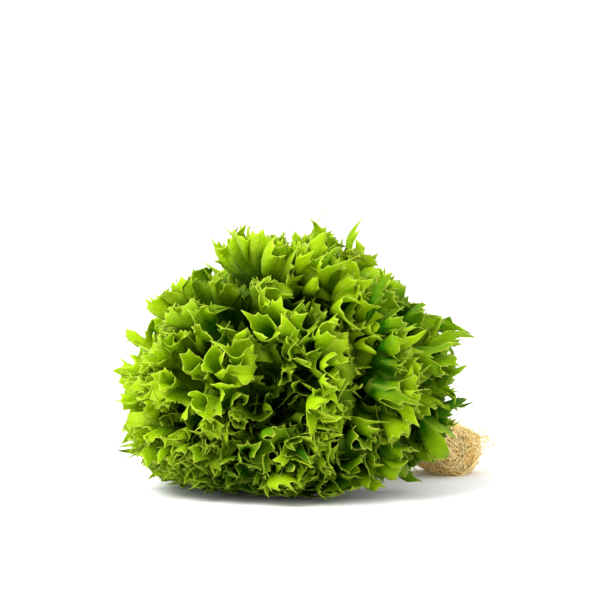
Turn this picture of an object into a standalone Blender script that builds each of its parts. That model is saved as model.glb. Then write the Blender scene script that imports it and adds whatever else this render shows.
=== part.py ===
"""A frilled loose-leaf lettuce, harvested with its roots on and lying on its side.

The head is a rosette: leaves follow each other round a short stem by the golden angle,
from the small upright heart leaves to the wide outer ones that lean back, and each is as
long as it takes to reach the head's dome. The stem's axis runs along -Y from the roots to
the leaf tips, and rises a little, because the head is thicker than the root wad. The
surface that it lies on is Z = 0, and the lower leaves are pressed flat over it.
"""

import math
import random

import bmesh
import bpy
import numpy as np
from mathutils import Matrix

# Driving dimensions, in metres.
CROWN_HEIGHT = 0.054
AXIS_RISE = math.radians(14)
DOME_AHEAD = 0.055
DOME_ABOVE = 0.018
DOME_RADIUS = 0.132
DOME_SHARPNESS = 1.7
LEAF_COUNT = 38
HEART_HALF_WIDTH = 0.034
OUTER_HALF_WIDTH = 0.060
LEAF_THICKNESS = 0.0009
STEM_RADIUS = 0.0115
STEM_LENGTH = 0.036
ROOT_WAD_BACK = 0.098
ROOT_WAD_HALF_WIDTH = 0.030
ROOT_WAD_HALF_LENGTH = 0.028
ROOT_WAD_HEIGHT = 0.036
GAP = 0.0003
SEED = 47

# How the rosette opens.
GOLDEN_ANGLE = math.pi * (3 - math.sqrt(5))
FIRST_AZIMUTH = math.radians(20)
WIDEST_LEAN = math.radians(112)
HEART_LEAN = math.radians(-14)
HEART_LEAN_FADE = 8
HEART_CROWDING = 1.3
HEART_FILL = 0.95
HEART_FILL_FADE = 4
OPENING_RATE = 0.6
HEART_BEND = math.radians(-35)
OUTER_BEND = math.radians(50)
BEND_CENTRE = 0.45
TIP_CURL = math.radians(30)
TIP_CURL_RATE = 6
DOWNWARD_TUCK = 0.52
LENGTH_SPREAD = (-0.05, 0.03)
FITTING_ROUNDS = 5
FITTING_REACH = np.linspace(-0.6, 0.6, 13)
MIDRIB_STEPS = 24
ATTACHMENT_RADIUS = 0.6 * STEM_RADIUS
HEART_ATTACHMENT = 0.024
OUTER_ATTACHMENT = 0.004

# How the lower leaves meet the surface.
FLOOR_CLEARANCE = 0.006
HEART_CLEARANCE = 0.046
FLOOR_SOFTNESS = 0.030
FLOOR_PRESS = 0.0088
STEEPEST_GLIDE = 0.4

# The leaf's outline, its rolled margin and its frill.
MIDRIB_SHARE = 0.70
BASE_HALF_WIDTH = 0.010
WIDEST_SHIFT = 0.72
OUTLINE_FULLNESS = 0.9
MARGIN_STEPS = 200
ROLL_START = 0.55
ROLL_RADIUS = 0.029
SMALLEST_RING = 0.032
WAVE_LENGTH = 0.046
WAVE_HEIGHT = 0.0095
WAVE_GROWTH = 1.7
WAVE_SWAY = 0.35
WAVE_DRIFT = 1.1
WAVE_SWELL = 0.35
DRIFT_RATE = 40
SWELL_RATE = 30
CALM_BASE = 0.3
ROWS = (0.0, 0.60, 1.0)
COLUMN_SPACING = 0.0215
LOBE_REACH = 0.009
NOTCH_DEPTH = 0.009

# The packed middle of the head: shares of its length from the crown, and radii there.
CORE_LENGTH = 0.138
CORE_PROFILE = (
    (0.03, 0.013),
    (0.20, 0.055),
    (0.40, 0.088),
    (0.60, 0.098),
    (0.78, 0.083),
    (0.93, 0.046),
    (1.00, 0.0),
)
CORE_RINGS = 9
CORE_SIDES = 18
CORE_FRILL = 0.055
CORE_SOFTNESS = 0.030
CORE_PRESS = 0.006

# The stem's waist: shares of its length, and of its radius there.
STEM_PROFILE = ((0.0, 1.0), (0.3, 0.9), (0.7, 0.9), (1.0, 1.0))
STEM_SIDES = 14

# The root wad: shares of the way from the stem to its far end, and of its full size.
ROOT_PROFILE = (
    (0.00, 0.40),
    (0.18, 0.50),
    (0.36, 0.74),
    (0.52, 0.93),
    (0.68, 1.00),
    (0.82, 0.92),
    (0.93, 0.64),
    (1.00, 0.0),
)
ROOT_LANDING = 0.68
ROOT_SIDES = 36
ROOT_RINGS = 22
ROOT_RELIEF = 0.06
ROOT_SINK = 0.003
FIBRE_HEIGHT = 0.0009
FIBRE_TWIST = 1.1
STEM_MEETING = 1 / 3
WRAPPING_STRANDS = 9
TRAILING_STRANDS = 7
STRAND_RADIUS = 0.0016
STRAND_POINTS = 10
STRAND_PROUD = 0.4
STRAND_SUNK = 1.2
WRAP_STARTS = (0.25, 0.6)
WRAP_LENGTHS = (0.15, 0.3)
WRAP_TURNS = (1.2, 2.2)
TRAIL_START = 0.72
TRAIL_END = 0.98
TRAIL_DEPTH = 0.001
TRAIL_LENGTH = 0.016
TRAIL_DROOP = 0.003
TRAIL_WAY = 1.2

AXIS = np.array((0.0, -math.cos(AXIS_RISE), math.sin(AXIS_RISE)))
SIDE = np.array((1.0, 0.0, 0.0))
TOP = np.cross(AXIS, SIDE)
CROWN = np.array((0.0, 0.0, CROWN_HEIGHT))
DOME_CENTRE = CROWN + np.array((0.0, -DOME_AHEAD, DOME_ABOVE))
STEM_END = CROWN - (STEM_LENGTH + GAP) * AXIS
FAR_CORNER = 0.4


def clear_scene():
    for obj in list(bpy.data.objects):
        bpy.data.objects.remove(obj, do_unlink=True)


def material(name, colour, roughness):
    made = bpy.data.materials.new(name)
    made.use_nodes = True
    shader = made.node_tree.nodes["Principled BSDF"]
    shader.inputs["Base Color"].default_value = (*colour, 1.0)
    shader.inputs["Roughness"].default_value = roughness
    shader.inputs["Metallic"].default_value = 0.0
    return made


def between(low, high, share):
    return low + (high - low) * share


def unit(vectors):
    return vectors / np.maximum(np.linalg.norm(vectors, axis=-1, keepdims=True), 1e-12)


def wobble(rng, waves=4):
    """A smooth random function of one variable, between about -1 and 1."""
    terms = [(rng.uniform(0.5, 1.9), rng.uniform(0, 2 * math.pi)) for _ in range(waves)]

    def value(x):
        return sum(np.sin(rate * x + start) for rate, start in terms) / math.sqrt(waves)

    return value


def dome_share(points):
    """How far out points lie between the middle of the head's dome, 0, and its surface, 1."""
    away = np.abs(points - DOME_CENTRE) / DOME_RADIUS
    level = np.hypot(away[..., 0], away[..., 1])
    return (level**DOME_SHARPNESS + away[..., 2] ** DOME_SHARPNESS) ** (1 / DOME_SHARPNESS)


def soft_floor(points, softness=FLOOR_SOFTNESS, press=FLOOR_PRESS):
    """Presses what would reach under the surface into thin layers over it."""
    height = points[..., 2]
    fall = np.minimum(height - softness, 0) / (softness + press)
    points[..., 2] = np.where(height < softness, (softness + press) * np.exp(fall) - press, height)
    return points


class Leaf:
    """One leaf of the rosette. Its sheet is found from two numbers: along runs from -1 to 1
    round the margin, through the tip at 0, and out runs from 0 at the midrib to 1 there."""

    def __init__(self, index):
        rng = random.Random(SEED + index)
        self.rank = (index + 0.5) / LEAF_COUNT
        azimuth = FIRST_AZIMUTH + index * GOLDEN_ANGLE
        self.outward = math.cos(azimuth) * SIDE + math.sin(azimuth) * TOP
        self.across = math.sin(azimuth) * SIDE - math.cos(azimuth) * TOP
        self.under = max(0.0, -self.outward[2])
        lean = math.acos(1 - self.rank**HEART_CROWDING * (1 - math.cos(WIDEST_LEAN)))
        lean += HEART_LEAN * (1 - self.rank) ** HEART_LEAN_FADE
        self.lean = lean * (1 - DOWNWARD_TUCK * self.under)
        opening = self.rank**OPENING_RATE
        self.bend = between(HEART_BEND, OUTER_BEND, opening) * (1 - self.under)
        self.curl = TIP_CURL * self.rank * (1 - self.under)
        self.half_width = between(HEART_HALF_WIDTH, OUTER_HALF_WIDTH, opening)
        fill = between(1, HEART_FILL, (1 - self.rank) ** HEART_FILL_FADE)
        self.fill_dome(fill + rng.uniform(*LENGTH_SPREAD))
        self.drift = wobble(rng)
        self.swell = wobble(rng)
        self.phase = rng.uniform(0, 2 * math.pi)

    def fill_dome(self, share):
        """Finds the length with which the leaf just reaches its share of the head's dome."""
        self.length = DOME_RADIUS
        for _ in range(FITTING_ROUNDS):
            self.trace_midrib()
            self.measure_margin()
            margin = self.rolled(FITTING_REACH, np.ones_like(FITTING_REACH))
            self.length *= share / dome_share(margin).max()
        self.trace_midrib()
        self.measure_margin()

    def trace_midrib(self):
        """Walks from the stem to the tip, bending outwards, and glides over the surface."""
        floor = between(HEART_CLEARANCE, FLOOR_CLEARANCE, self.rank)
        up_the_stem = between(HEART_ATTACHMENT, OUTER_ATTACHMENT, self.rank)
        point = CROWN + ATTACHMENT_RADIUS * self.outward + up_the_stem * AXIS
        points, steps = [point], []
        for step in range(MIDRIB_STEPS):
            share = (step + 0.5) / MIDRIB_STEPS
            lean = self.lean + self.bend * (share - BEND_CENTRE) + self.curl * share**TIP_CURL_RATE
            way = math.cos(lean) * AXIS + math.sin(lean) * self.outward
            if way[2] < 0:
                room = (point[2] - floor) / FLOOR_SOFTNESS
                way[2] *= min(1.0, max(-STEEPEST_GLIDE, room))
            way = way / np.linalg.norm(way)
            point = point + way * self.length / MIDRIB_STEPS
            points.append(point)
            steps.append(way)
        self.points = np.array(points)
        tangents = np.array([steps[0], *steps])
        self.laterals = unit(self.across - (tangents @ self.across)[:, None] * tangents)
        self.normals = np.cross(self.laterals, tangents)
        ring = np.linalg.norm(np.cross(self.points - CROWN, AXIS), axis=1)
        self.curving = (tangents @ AXIS) / np.hypot(ring, SMALLEST_RING)
        self.stations = np.linspace(0, 1, MIDRIB_STEPS + 1)

    def outline(self, along):
        """The margin of the flat leaf: x across, y from the base to the tip."""
        way = np.abs(along)
        round_way = np.pi * np.minimum(way, 1) ** WIDEST_SHIFT
        wide = self.half_width * np.sin(round_way).clip(0) ** OUTLINE_FULLNESS
        x = np.sign(along) * (wide + BASE_HALF_WIDTH * way**2)
        return x, self.length * np.cos(np.pi * way / 2) ** 2

    def measure_margin(self):
        steps = np.linspace(0, 1, MARGIN_STEPS)
        x, y = self.outline(steps)
        lengths = np.hypot(np.diff(x), np.diff(y))
        self.margin_steps = steps
        self.margin_lengths = np.concatenate([[0], np.cumsum(lengths)])

    def margin_distance(self, along):
        """The distance along the flat margin from the tip, negative on the left."""
        return np.sign(along) * np.interp(np.abs(along), self.margin_steps, self.margin_lengths)

    def foot(self, along):
        """Where the vein to this part of the margin leaves the midrib."""
        return self.length * MIDRIB_SHARE * (1 - np.abs(along))

    def smooth(self, along, out):
        """The sheet without its frill, bent along the midrib and cupped round the heart."""
        x, y = self.outline(along)
        foot = self.foot(along)
        x, y = x * out, foot + (y - foot) * out
        share = y / self.length

        def read(table):
            return np.stack([np.interp(share, self.stations, column) for column in table.T], -1)

        turn = x * np.interp(share, self.stations, self.curving)
        beyond = np.maximum(share - 1, 0)[..., None] * self.length
        lateral = x * np.sinc(turn / np.pi)
        inward = x * turn / 2 * np.sinc(turn / 2 / np.pi) ** 2
        placed = read(self.points) + beyond * unit(self.points[-1] - self.points[-2])
        return placed + lateral[..., None] * read(self.laterals) + inward[..., None] * read(self.normals)

    def directions(self, surface, along, out):
        """A surface's points, its tangent along the margin and its normal."""
        step = 1e-3
        here = surface(along, out)
        tangent = unit(surface(along + step, out) - here)
        return here, tangent, unit(np.cross(tangent, surface(along, out + step) - here))

    def rolled(self, along, out):
        """The sheet with its margin rolled outwards, away from the heart."""
        x, y = self.outline(along)
        ray = np.maximum(np.hypot(x, y - self.foot(along)), 1e-4)
        turn = np.maximum(out - ROLL_START, 0) * ray / ROLL_RADIUS
        kept = np.minimum(out, ROLL_START) + np.sin(turn) * ROLL_RADIUS / ray
        here, _, normal = self.directions(self.smooth, along, kept)
        return here - (ROLL_RADIUS * (1 - np.cos(turn)))[..., None] * normal

    def waved(self, along, out):
        """The sheet with the large waves that grow towards its margin."""
        here, tangent, normal = self.directions(self.rolled, along, out)
        distance = self.margin_distance(along)
        turn = 2 * math.pi * distance / WAVE_LENGTH + self.phase
        turn = turn + WAVE_DRIFT * self.drift(distance * DRIFT_RATE)
        swell = 1 + WAVE_SWELL * self.swell(distance * SWELL_RATE)
        height = WAVE_HEIGHT * swell * out**WAVE_GROWTH
        height = height * np.clip((1 - np.abs(along)) / CALM_BASE, 0, 1)
        sway = (WAVE_SWAY * height * np.sin(2 * turn))[..., None] * tangent
        return here + (height * np.sin(turn))[..., None] * normal - sway


def add_object(name, mesh, collection=None):
    """Turns a bmesh into an object of its own."""
    data = bpy.data.meshes.new(name)
    mesh.to_mesh(data)
    mesh.free()
    obj = bpy.data.objects.new(name, data)
    (collection or bpy.context.collection).objects.link(obj)
    return obj


def new_collection(name):
    made = bpy.data.collections.new(name)
    bpy.context.scene.collection.children.link(made)
    return made


def circle(centre, across, upwards, sides):
    """A ring of points round a centre, from two half-axis vectors."""
    turns = np.arange(sides) / sides * 2 * math.pi
    return centre + np.cos(turns)[:, None] * across + np.sin(turns)[:, None] * upwards


def loft(rings):
    """A closed skin in triangles over rings of points. A ring of one point is a pole."""
    mesh = bmesh.new()
    rows = [[mesh.verts.new(point) for point in ring] for ring in rings]
    for near, far in zip(rows, rows[1:]):
        for k in range(max(len(near), len(far))):
            a, b = near[k % len(near)], near[(k + 1) % len(near)]
            c, d = far[(k + 1) % len(far)], far[k % len(far)]
            for corners in ((a, b, c), (a, c, d)):
                if len(set(corners)) == 3:
                    mesh.faces.new(corners)
    for row in (rows[0], rows[-1]):
        if len(row) > 2:
            mesh.faces.new(row)
    bmesh.ops.triangulate(mesh, faces=mesh.faces)
    bmesh.ops.recalc_face_normals(mesh, faces=mesh.faces)
    return mesh


def block(low, high):
    """A box between two corners."""
    mesh = bmesh.new()
    bmesh.ops.create_cube(mesh, size=1.0)
    low, high = np.array(low), np.array(high)
    for vert in mesh.verts:
        vert.co = (low + high) / 2 + np.array(vert.co) * (high - low)
    return mesh


def apply_modifiers(obj):
    """Keeps the object's evaluated shape as its own mesh."""
    evaluated = obj.evaluated_get(bpy.context.evaluated_depsgraph_get())
    data = bpy.data.meshes.new_from_object(evaluated)
    obj.modifiers.clear()
    obj.data = data


def combine(obj, others, operation):
    """One Boolean of the object with a whole collection, which is then removed."""
    boolean = obj.modifiers.new("combine", "BOOLEAN")
    boolean.operation = operation
    boolean.operand_type = "COLLECTION"
    boolean.collection = others
    boolean.solver = "MANIFOLD"
    apply_modifiers(obj)
    for other in list(others.objects):
        bpy.data.objects.remove(other, do_unlink=True)
    bpy.data.collections.remove(others)


def keep_largest_shell(obj):
    """Fills the hollows that fusing seals and drops the scraps that it leaves loose."""
    mesh = bmesh.new()
    mesh.from_mesh(obj.data)
    unseen = set(mesh.verts)
    shells = []
    while unseen:
        shell = [unseen.pop()]
        for vert in shell:
            for edge in vert.link_edges:
                other = edge.other_vert(vert)
                if other in unseen:
                    unseen.remove(other)
                    shell.append(other)
        shells.append(shell)
    shells.sort(key=len)
    for shell in shells[:-1]:
        bmesh.ops.delete(mesh, geom=shell, context="VERTS")
    mesh.to_mesh(obj.data)
    mesh.free()


def dress(obj, finish):
    """Gives the whole object one material."""
    obj.data.materials.clear()
    obj.data.materials.append(finish)
    for face in obj.data.polygons:
        face.material_index = 0


def leaf_sheet(leaf, collection):
    """A leaf as a wavy sheet in triangles, whose margin runs in and out between lobes and
    notches, with a thickness that leaves both faces alike."""
    columns = 4 * round(leaf.margin_lengths[-1] / COLUMN_SPACING / 2)
    along = np.linspace(-1, 1, columns + 1)
    mesh = bmesh.new()
    rows = []
    for out in ROWS:
        reach = np.full(len(along), out)
        if out == 1.0:
            reach[2:-1:2] += LOBE_REACH / leaf.half_width
            reach[1::2] -= NOTCH_DEPTH / leaf.half_width
        rows.append([mesh.verts.new(point) for point in soft_floor(leaf.waved(along, reach))])
    for inner, outer in zip(rows, rows[1:]):
        for k in range(columns):
            a, b, c, d = inner[k], inner[k + 1], outer[k + 1], outer[k]
            for corners in ((a, b, d), (b, c, d)) if k % 2 else ((a, b, c), (a, c, d)):
                mesh.faces.new(corners)
    bmesh.ops.remove_doubles(mesh, verts=mesh.verts, dist=1e-6)
    thick = add_object("leaf", mesh, collection).modifiers.new("thickness", "SOLIDIFY")
    thick.thickness = LEAF_THICKNESS
    thick.offset = 0


def head_core():
    """The packed inner leaves as one crumpled form, which the outer part of every leaf
    stands out of: narrow at the crown, and kept clear of the surface."""
    shares, radii = np.transpose(CORE_PROFILE)
    rings = []
    for k, share in enumerate(np.linspace(shares[0], 1, CORE_RINGS)[:-1]):
        crumple = 1 + CORE_FRILL * np.where((np.arange(CORE_SIDES) + k) % 2, 1, -1)
        radius = np.interp(share, shares, radii) * (crumple if k else np.ones(CORE_SIDES))
        centre = CROWN + share * CORE_LENGTH * AXIS
        rim = circle(np.zeros(3), SIDE, TOP, CORE_SIDES)
        rings.append(soft_floor(centre + radius[:, None] * rim, CORE_SOFTNESS, CORE_PRESS))
    rings.append((CROWN + CORE_LENGTH * AXIS)[None])
    return add_object("leaf_head", loft(rings))


def stem_rings(extra=0.0):
    """The stem's rings, slightly waisted, and grown by an extra width all round."""
    rings = []
    for share, width in STEM_PROFILE:
        centre = CROWN + (extra * (share == 0) - share * STEM_LENGTH) * AXIS
        radius = width * STEM_RADIUS + extra
        rings.append(circle(centre, radius * SIDE, radius * TOP, STEM_SIDES))
    return rings


def make_leaf_head():
    """All leaves fused to the core, cut flat where they touch the surface and clear of
    the stem."""
    leaves = new_collection("leaves")
    for index in range(LEAF_COUNT):
        leaf_sheet(Leaf(index), leaves)
    head = head_core()
    combine(head, leaves, "UNION")
    cutters = new_collection("cutters")
    add_object("below", block((-FAR_CORNER,) * 3, (FAR_CORNER, FAR_CORNER, 0.0)), cutters)
    add_object("stem_room", loft(stem_rings(GAP)), cutters)
    combine(head, cutters, "DIFFERENCE")
    keep_largest_shell(head)
    dress(head, material("leaf_green", (0.25, 0.45, 0.03), 0.5))
    return head


def make_stem():
    """The pale stump that carries the leaves and runs into the roots."""
    stem = add_object("stem", loft(stem_rings()))
    stem.data.shade_smooth()
    stem.data.set_sharp_from_angle(angle=math.radians(40))
    dress(stem, material("stem_pale", (0.75, 0.72, 0.42), 0.5))
    return stem


def root_place(share, turn, lift=0.0):
    """A point on the root wad's uneven surface: share runs from the stem to the far end,
    turn goes round it, and lift raises the point above the surface."""
    middle = np.array((0.0, ROOT_WAD_BACK, ROOT_WAD_HEIGHT / 2))
    reach = middle[1] + ROOT_WAD_HALF_LENGTH - STEM_END[1]
    drop = (1 - np.cos(math.pi * np.minimum(share / ROOT_LANDING, 1))) / 2
    size = np.interp(share, *np.transpose(ROOT_PROFILE))
    bumps = np.sin(3 * turn + 7 * share) + np.sin(5 * turn - 11 * share + 2)
    size = size * (1 + ROOT_RELIEF * bumps * np.sin(math.pi * share))
    wide = size * ROOT_WAD_HALF_WIDTH + lift
    rise = (size * (ROOT_WAD_HEIGHT / 2 + ROOT_SINK) + lift) * np.sin(turn)
    square = np.maximum(1 - share / STEM_MEETING, 0) * math.sin(AXIS_RISE)
    y = STEM_END[1] + reach * share + square * rise
    return np.stack([wide * np.cos(turn), y, between(STEM_END[2], middle[2], drop) + rise], -1)


def root_core():
    """The wad with its fibres as ridges that wind round it."""
    turns = np.arange(ROOT_SIDES) / ROOT_SIDES * 2 * math.pi
    ridges = np.where(np.arange(ROOT_SIDES) % 2, FIBRE_HEIGHT, -FIBRE_HEIGHT)
    rings = []
    for share in np.linspace(0, 1, ROOT_RINGS)[:-1]:
        twist = FIBRE_TWIST * math.sin(2 * share)
        rings.append(root_place(np.full(ROOT_SIDES, share), turns + twist, ridges))
    rings.append(root_place(np.ones(1), np.zeros(1)))
    return add_object("root_ball", loft(rings))


def root_strand(index, collection):
    """One loose root, three-sided and partly sunk. The first ones wrap the wad from side
    to side, and the others leave its far end."""
    rng = random.Random(SEED + 500 + index)
    steps = np.linspace(0, 1, STRAND_POINTS)
    sway = wobble(rng)
    if index < WRAPPING_STRANDS:
        start = index / WRAPPING_STRANDS * 2 * math.pi
        shares = rng.uniform(*WRAP_STARTS) + rng.uniform(*WRAP_LENGTHS) * steps
        turns = start + rng.uniform(*WRAP_TURNS) * steps
        arch = np.sin(math.pi * steps) ** 0.5
        lifts = STRAND_RADIUS * ((STRAND_PROUD + STRAND_SUNK) * arch - STRAND_SUNK)
        points = root_place(shares, turns, lifts)
    else:
        start = (index + 0.5) / TRAILING_STRANDS * math.pi
        shares = between(TRAIL_START, TRAIL_END, steps)
        points = root_place(shares, start + 0.3 * sway(4 * steps), -TRAIL_DEPTH)
        way = np.array((math.cos(start), TRAIL_WAY, 0.0))
        points = points + TRAIL_LENGTH * (steps**1.5)[:, None] * way
        points[:, 2] += TRAIL_DROOP * sway(5 * steps) * steps
    points[:, 2] = np.maximum(points[:, 2], STRAND_RADIUS)
    ways = unit(np.gradient(points, axis=0))
    beside = unit(np.cross(ways, (0.1, 0.2, 1.0)))
    upwards = np.cross(beside, ways)
    radii = STRAND_RADIUS * np.linspace(1.0, 0.55, STRAND_POINTS)
    rings = [circle(p, r * b, r * u, 3) for p, r, b, u in zip(points, radii, beside, upwards)]
    add_object("strand", loft(rings), collection)


def make_root_ball():
    """The matted roots, flat where they lie on the surface."""
    strands = new_collection("strands")
    for index in range(WRAPPING_STRANDS + TRAILING_STRANDS):
        root_strand(index, strands)
    roots = root_core()
    combine(roots, strands, "UNION")
    cutters = new_collection("cutters")
    add_object("below", block((-FAR_CORNER,) * 3, (FAR_CORNER, FAR_CORNER, 0.0)), cutters)
    combine(roots, cutters, "DIFFERENCE")
    keep_largest_shell(roots)
    dress(roots, material("root_straw", (0.78, 0.62, 0.30), 0.8))
    return roots


def settle(objects):
    """Moves the whole so that the middle of its box's floor is the origin."""
    corners = np.array([vert.co for obj in objects for vert in obj.data.vertices])
    low, high = corners.min(axis=0), corners.max(axis=0)
    shift = Matrix.Translation((-(low[0] + high[0]) / 2, -(low[1] + high[1]) / 2, -low[2]))
    for obj in objects:
        obj.data.transform(shift)


def main():
    clear_scene()
    settle([make_leaf_head(), make_stem(), make_root_ball()])


if __name__ == "__main__":
    main()
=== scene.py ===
"""The looks of a frilled loose-leaf lettuce that lies on its side with its roots on.

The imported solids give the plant's place and size. Every leaf of the rosette is a thin sheet
of its own here, grown by the same rules as the solid head and then ruffled, lobed and
toothed. The stump and the root wad get their fine surface, and the wad gets its strands.
"""

import logging
import math
import random
from dataclasses import dataclass, field
from enum import Enum
from typing import Any, Callable

import bpy
import numpy as np
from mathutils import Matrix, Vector


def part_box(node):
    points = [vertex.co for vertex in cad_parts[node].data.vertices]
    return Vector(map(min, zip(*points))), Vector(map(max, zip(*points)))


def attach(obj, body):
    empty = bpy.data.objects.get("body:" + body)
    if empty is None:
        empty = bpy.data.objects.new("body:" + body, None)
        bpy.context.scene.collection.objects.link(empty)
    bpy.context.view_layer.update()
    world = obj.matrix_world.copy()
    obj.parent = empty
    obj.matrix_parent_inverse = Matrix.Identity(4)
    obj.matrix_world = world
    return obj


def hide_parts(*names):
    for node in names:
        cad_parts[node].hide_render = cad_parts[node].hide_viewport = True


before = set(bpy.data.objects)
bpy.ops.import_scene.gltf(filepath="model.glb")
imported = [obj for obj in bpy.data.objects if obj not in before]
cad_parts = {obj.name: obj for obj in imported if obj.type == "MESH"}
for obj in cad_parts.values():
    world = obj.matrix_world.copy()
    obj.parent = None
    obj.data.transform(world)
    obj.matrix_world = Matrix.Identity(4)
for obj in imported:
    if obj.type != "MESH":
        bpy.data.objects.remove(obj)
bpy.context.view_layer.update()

LOG = logging.getLogger("lettuce")
BODY = "root"
TINY = 1e-12
SAME_LEVEL = 1e-6
DRIFT_RATES = (1.0, 3.3)
SWELL_RATES = (1.4, 4.5)

Points = np.ndarray
Span = tuple[float, float]
Colour = tuple[float, float, float]
Wave = Callable[[Points], Points]
Surface = Callable[[Points, Points], Points]
Moves = Callable[[Points, Points], tuple[Points, Points]]


class Slot(Enum):
    """The record's material slots."""

    LEAF = "leaf"
    STEM = "stem"
    ROOT = "root"


class Node(Enum):
    """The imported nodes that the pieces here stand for."""

    LEAF_HEAD = "leaf_head"
    STEM = "stem"
    ROOT_BALL = "root_ball"


def between(low: Any, high: Any, share: Any) -> Any:
    """The value at a share of the way from low to high."""
    return low + (high - low) * share


def unit(vectors: Points) -> Points:
    """The vectors at length 1."""
    return vectors / np.maximum(np.linalg.norm(vectors, axis=-1, keepdims=True), TINY)


def grown(values: Points, start: float, most: float = 1.0) -> Points:
    """0 up to start, then a straight rise that reaches 1 at 1 and is held at most."""
    return np.clip((values - start) / (1 - start), 0, most)


def calmed(along: Points, base: float) -> Points:
    """1 over most of the margin, with a straight fall to 0 at the leaf's base."""
    return np.clip((1 - np.abs(along)) / base, 0, 1)


def waver(rng: random.Random, rates: Span, waves: int, wave_length: float = 1.0) -> Wave:
    """Makes a smooth random function of one variable.

    Args:
        rng: the seeded source of its waves.
        rates: the lowest and the highest rate of its waves, in radians for each wave length.
        waves: how many waves are added.
        wave_length: the length that the rates are given for.

    Returns:
        A function whose values mostly lie between -1 and 1.
    """
    slow, fast = (rate / wave_length for rate in rates)
    terms = [(rng.uniform(slow, fast), rng.uniform(0, 2 * math.pi)) for _ in range(waves)]

    def value(x: Points) -> Points:
        """The sum of the waves at x."""
        return sum(np.sin(rate * x + start) for rate, start in terms) / math.sqrt(waves)

    return value


def rounded(table: Points, times: int) -> Points:
    """Cuts the runs between a table's rows finely and rounds the corners at the rows.

    Args:
        table: the rows.
        times: how many steps each run gets, an odd number.

    Returns:
        The finer table, which starts and ends where the first one does.
    """
    before = [table[0] + (table[0] - table[1]) * step for step in (2, 1)]
    after = [table[-1] + (table[-1] - table[-2]) * step for step in (1, 2)]
    longer = np.concatenate([before, table, after])
    places = np.arange((len(longer) - 1) * times + 1) / times
    fine = np.stack([np.interp(places, np.arange(len(longer)), row) for row in longer.T], -1)
    rounds = 3
    for _ in range(rounds):
        sums = np.cumsum(np.concatenate([0 * fine[:1], fine]), axis=0)
        fine = (sums[times:] - sums[:-times]) / times
    spare = len(before) * times - rounds * (times - 1) // 2
    return fine[spare:-spare]


def deselect_all() -> None:
    """Leaves nothing selected, so that an operator acts only on what is chosen next."""
    if bpy.context.object and bpy.context.object.mode != "OBJECT":
        bpy.ops.object.mode_set(mode="OBJECT")
    bpy.ops.object.select_all(action="DESELECT")


def choose(piece: bpy.types.Object) -> None:
    """Makes a piece the only selected and the active object."""
    deselect_all()
    piece.select_set(True)
    bpy.context.view_layer.objects.active = piece


def coordinates(data: bpy.types.Mesh) -> Points:
    """A mesh's vertices as an array."""
    flat = np.empty(len(data.vertices) * 3, np.float32)
    data.vertices.foreach_get("co", flat)
    return flat.reshape(-1, 3).astype(float)


def place(data: bpy.types.Mesh, points: Points) -> None:
    """Moves a mesh's vertices to new places."""
    data.vertices.foreach_set("co", points.astype(np.float32).ravel())
    data.update()


def keep_number(data: bpy.types.Mesh, name: str, values: Points) -> None:
    """Keeps a number at each of a mesh's points, for its finish to read."""
    kept = data.attributes.new(name, "FLOAT", "POINT")
    kept.data.foreach_set("value", values.astype(np.float32))


def edit_whole(piece: bpy.types.Object, operator: Callable[..., Any], **settings: Any) -> None:
    """Runs one of edit mode's operators on the whole of a piece."""
    choose(piece)
    bpy.ops.object.mode_set(mode="EDIT")
    bpy.ops.mesh.select_all(action="SELECT")
    operator(**settings)
    bpy.ops.object.mode_set(mode="OBJECT")


def cut_edges(piece: bpy.types.Object, wanted: Callable[[Vector, Vector], bool], cuts: int) -> None:
    """Cuts the edges whose two ends pass a test into equal runs.

    Args:
        piece: the mesh object.
        wanted: the test on an edge's two ends.
        cuts: how many cuts each edge gets.
    """
    choose(piece)
    bpy.ops.object.mode_set(mode="EDIT")
    bpy.ops.mesh.select_mode(type="EDGE")
    bpy.ops.mesh.select_all(action="DESELECT")
    bpy.ops.object.mode_set(mode="OBJECT")
    corners = piece.data.vertices
    for edge in piece.data.edges:
        first, second = (corners[index].co for index in edge.vertices)
        edge.select = wanted(first, second)
    bpy.ops.object.mode_set(mode="EDIT")
    bpy.ops.mesh.subdivide(number_cuts=cuts)
    bpy.ops.object.mode_set(mode="OBJECT")


def ringed_cylinder(
    name: str, sides: int, radius: float, length: float, cuts: int, cap: str
) -> bpy.types.Object:
    """Models an upright cylinder round the origin, cut across into rings.

    Args:
        name: the piece's name.
        sides: how many sides it has.
        radius: its radius.
        length: its length.
        cuts: how many cuts run round it.
        cap: how its ends are filled.

    Returns:
        The cylinder.
    """
    deselect_all()
    bpy.ops.mesh.primitive_cylinder_add(
        vertices=sides, radius=radius, depth=length, end_fill_type=cap
    )
    piece = bpy.context.object
    piece.name = piece.data.name = name
    cut_edges(piece, lambda a, b: abs(a.z - b.z) > length / 2, cuts)
    return piece


def apply_all(piece: bpy.types.Object) -> None:
    """Applies a piece's modifiers in their order."""
    choose(piece)
    for modifier in list(piece.modifiers):
        bpy.ops.object.modifier_apply(modifier=modifier.name)


def hand_over(piece: bpy.types.Object, node: Node, slot: Slot) -> None:
    """Lets a finished piece ride on the plant and stand for a node."""
    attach(piece, BODY)
    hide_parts(node.value)
    LOG.info("%s: %d faces", piece.name, len(piece.data.polygons))


@dataclass(frozen=True)
class Bulge:
    """A place where the head swells, or is pressed in where its height is negative. Its width
    is in radians and its height in metres."""

    way: tuple[float, float, float]
    height: float
    width: float


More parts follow.
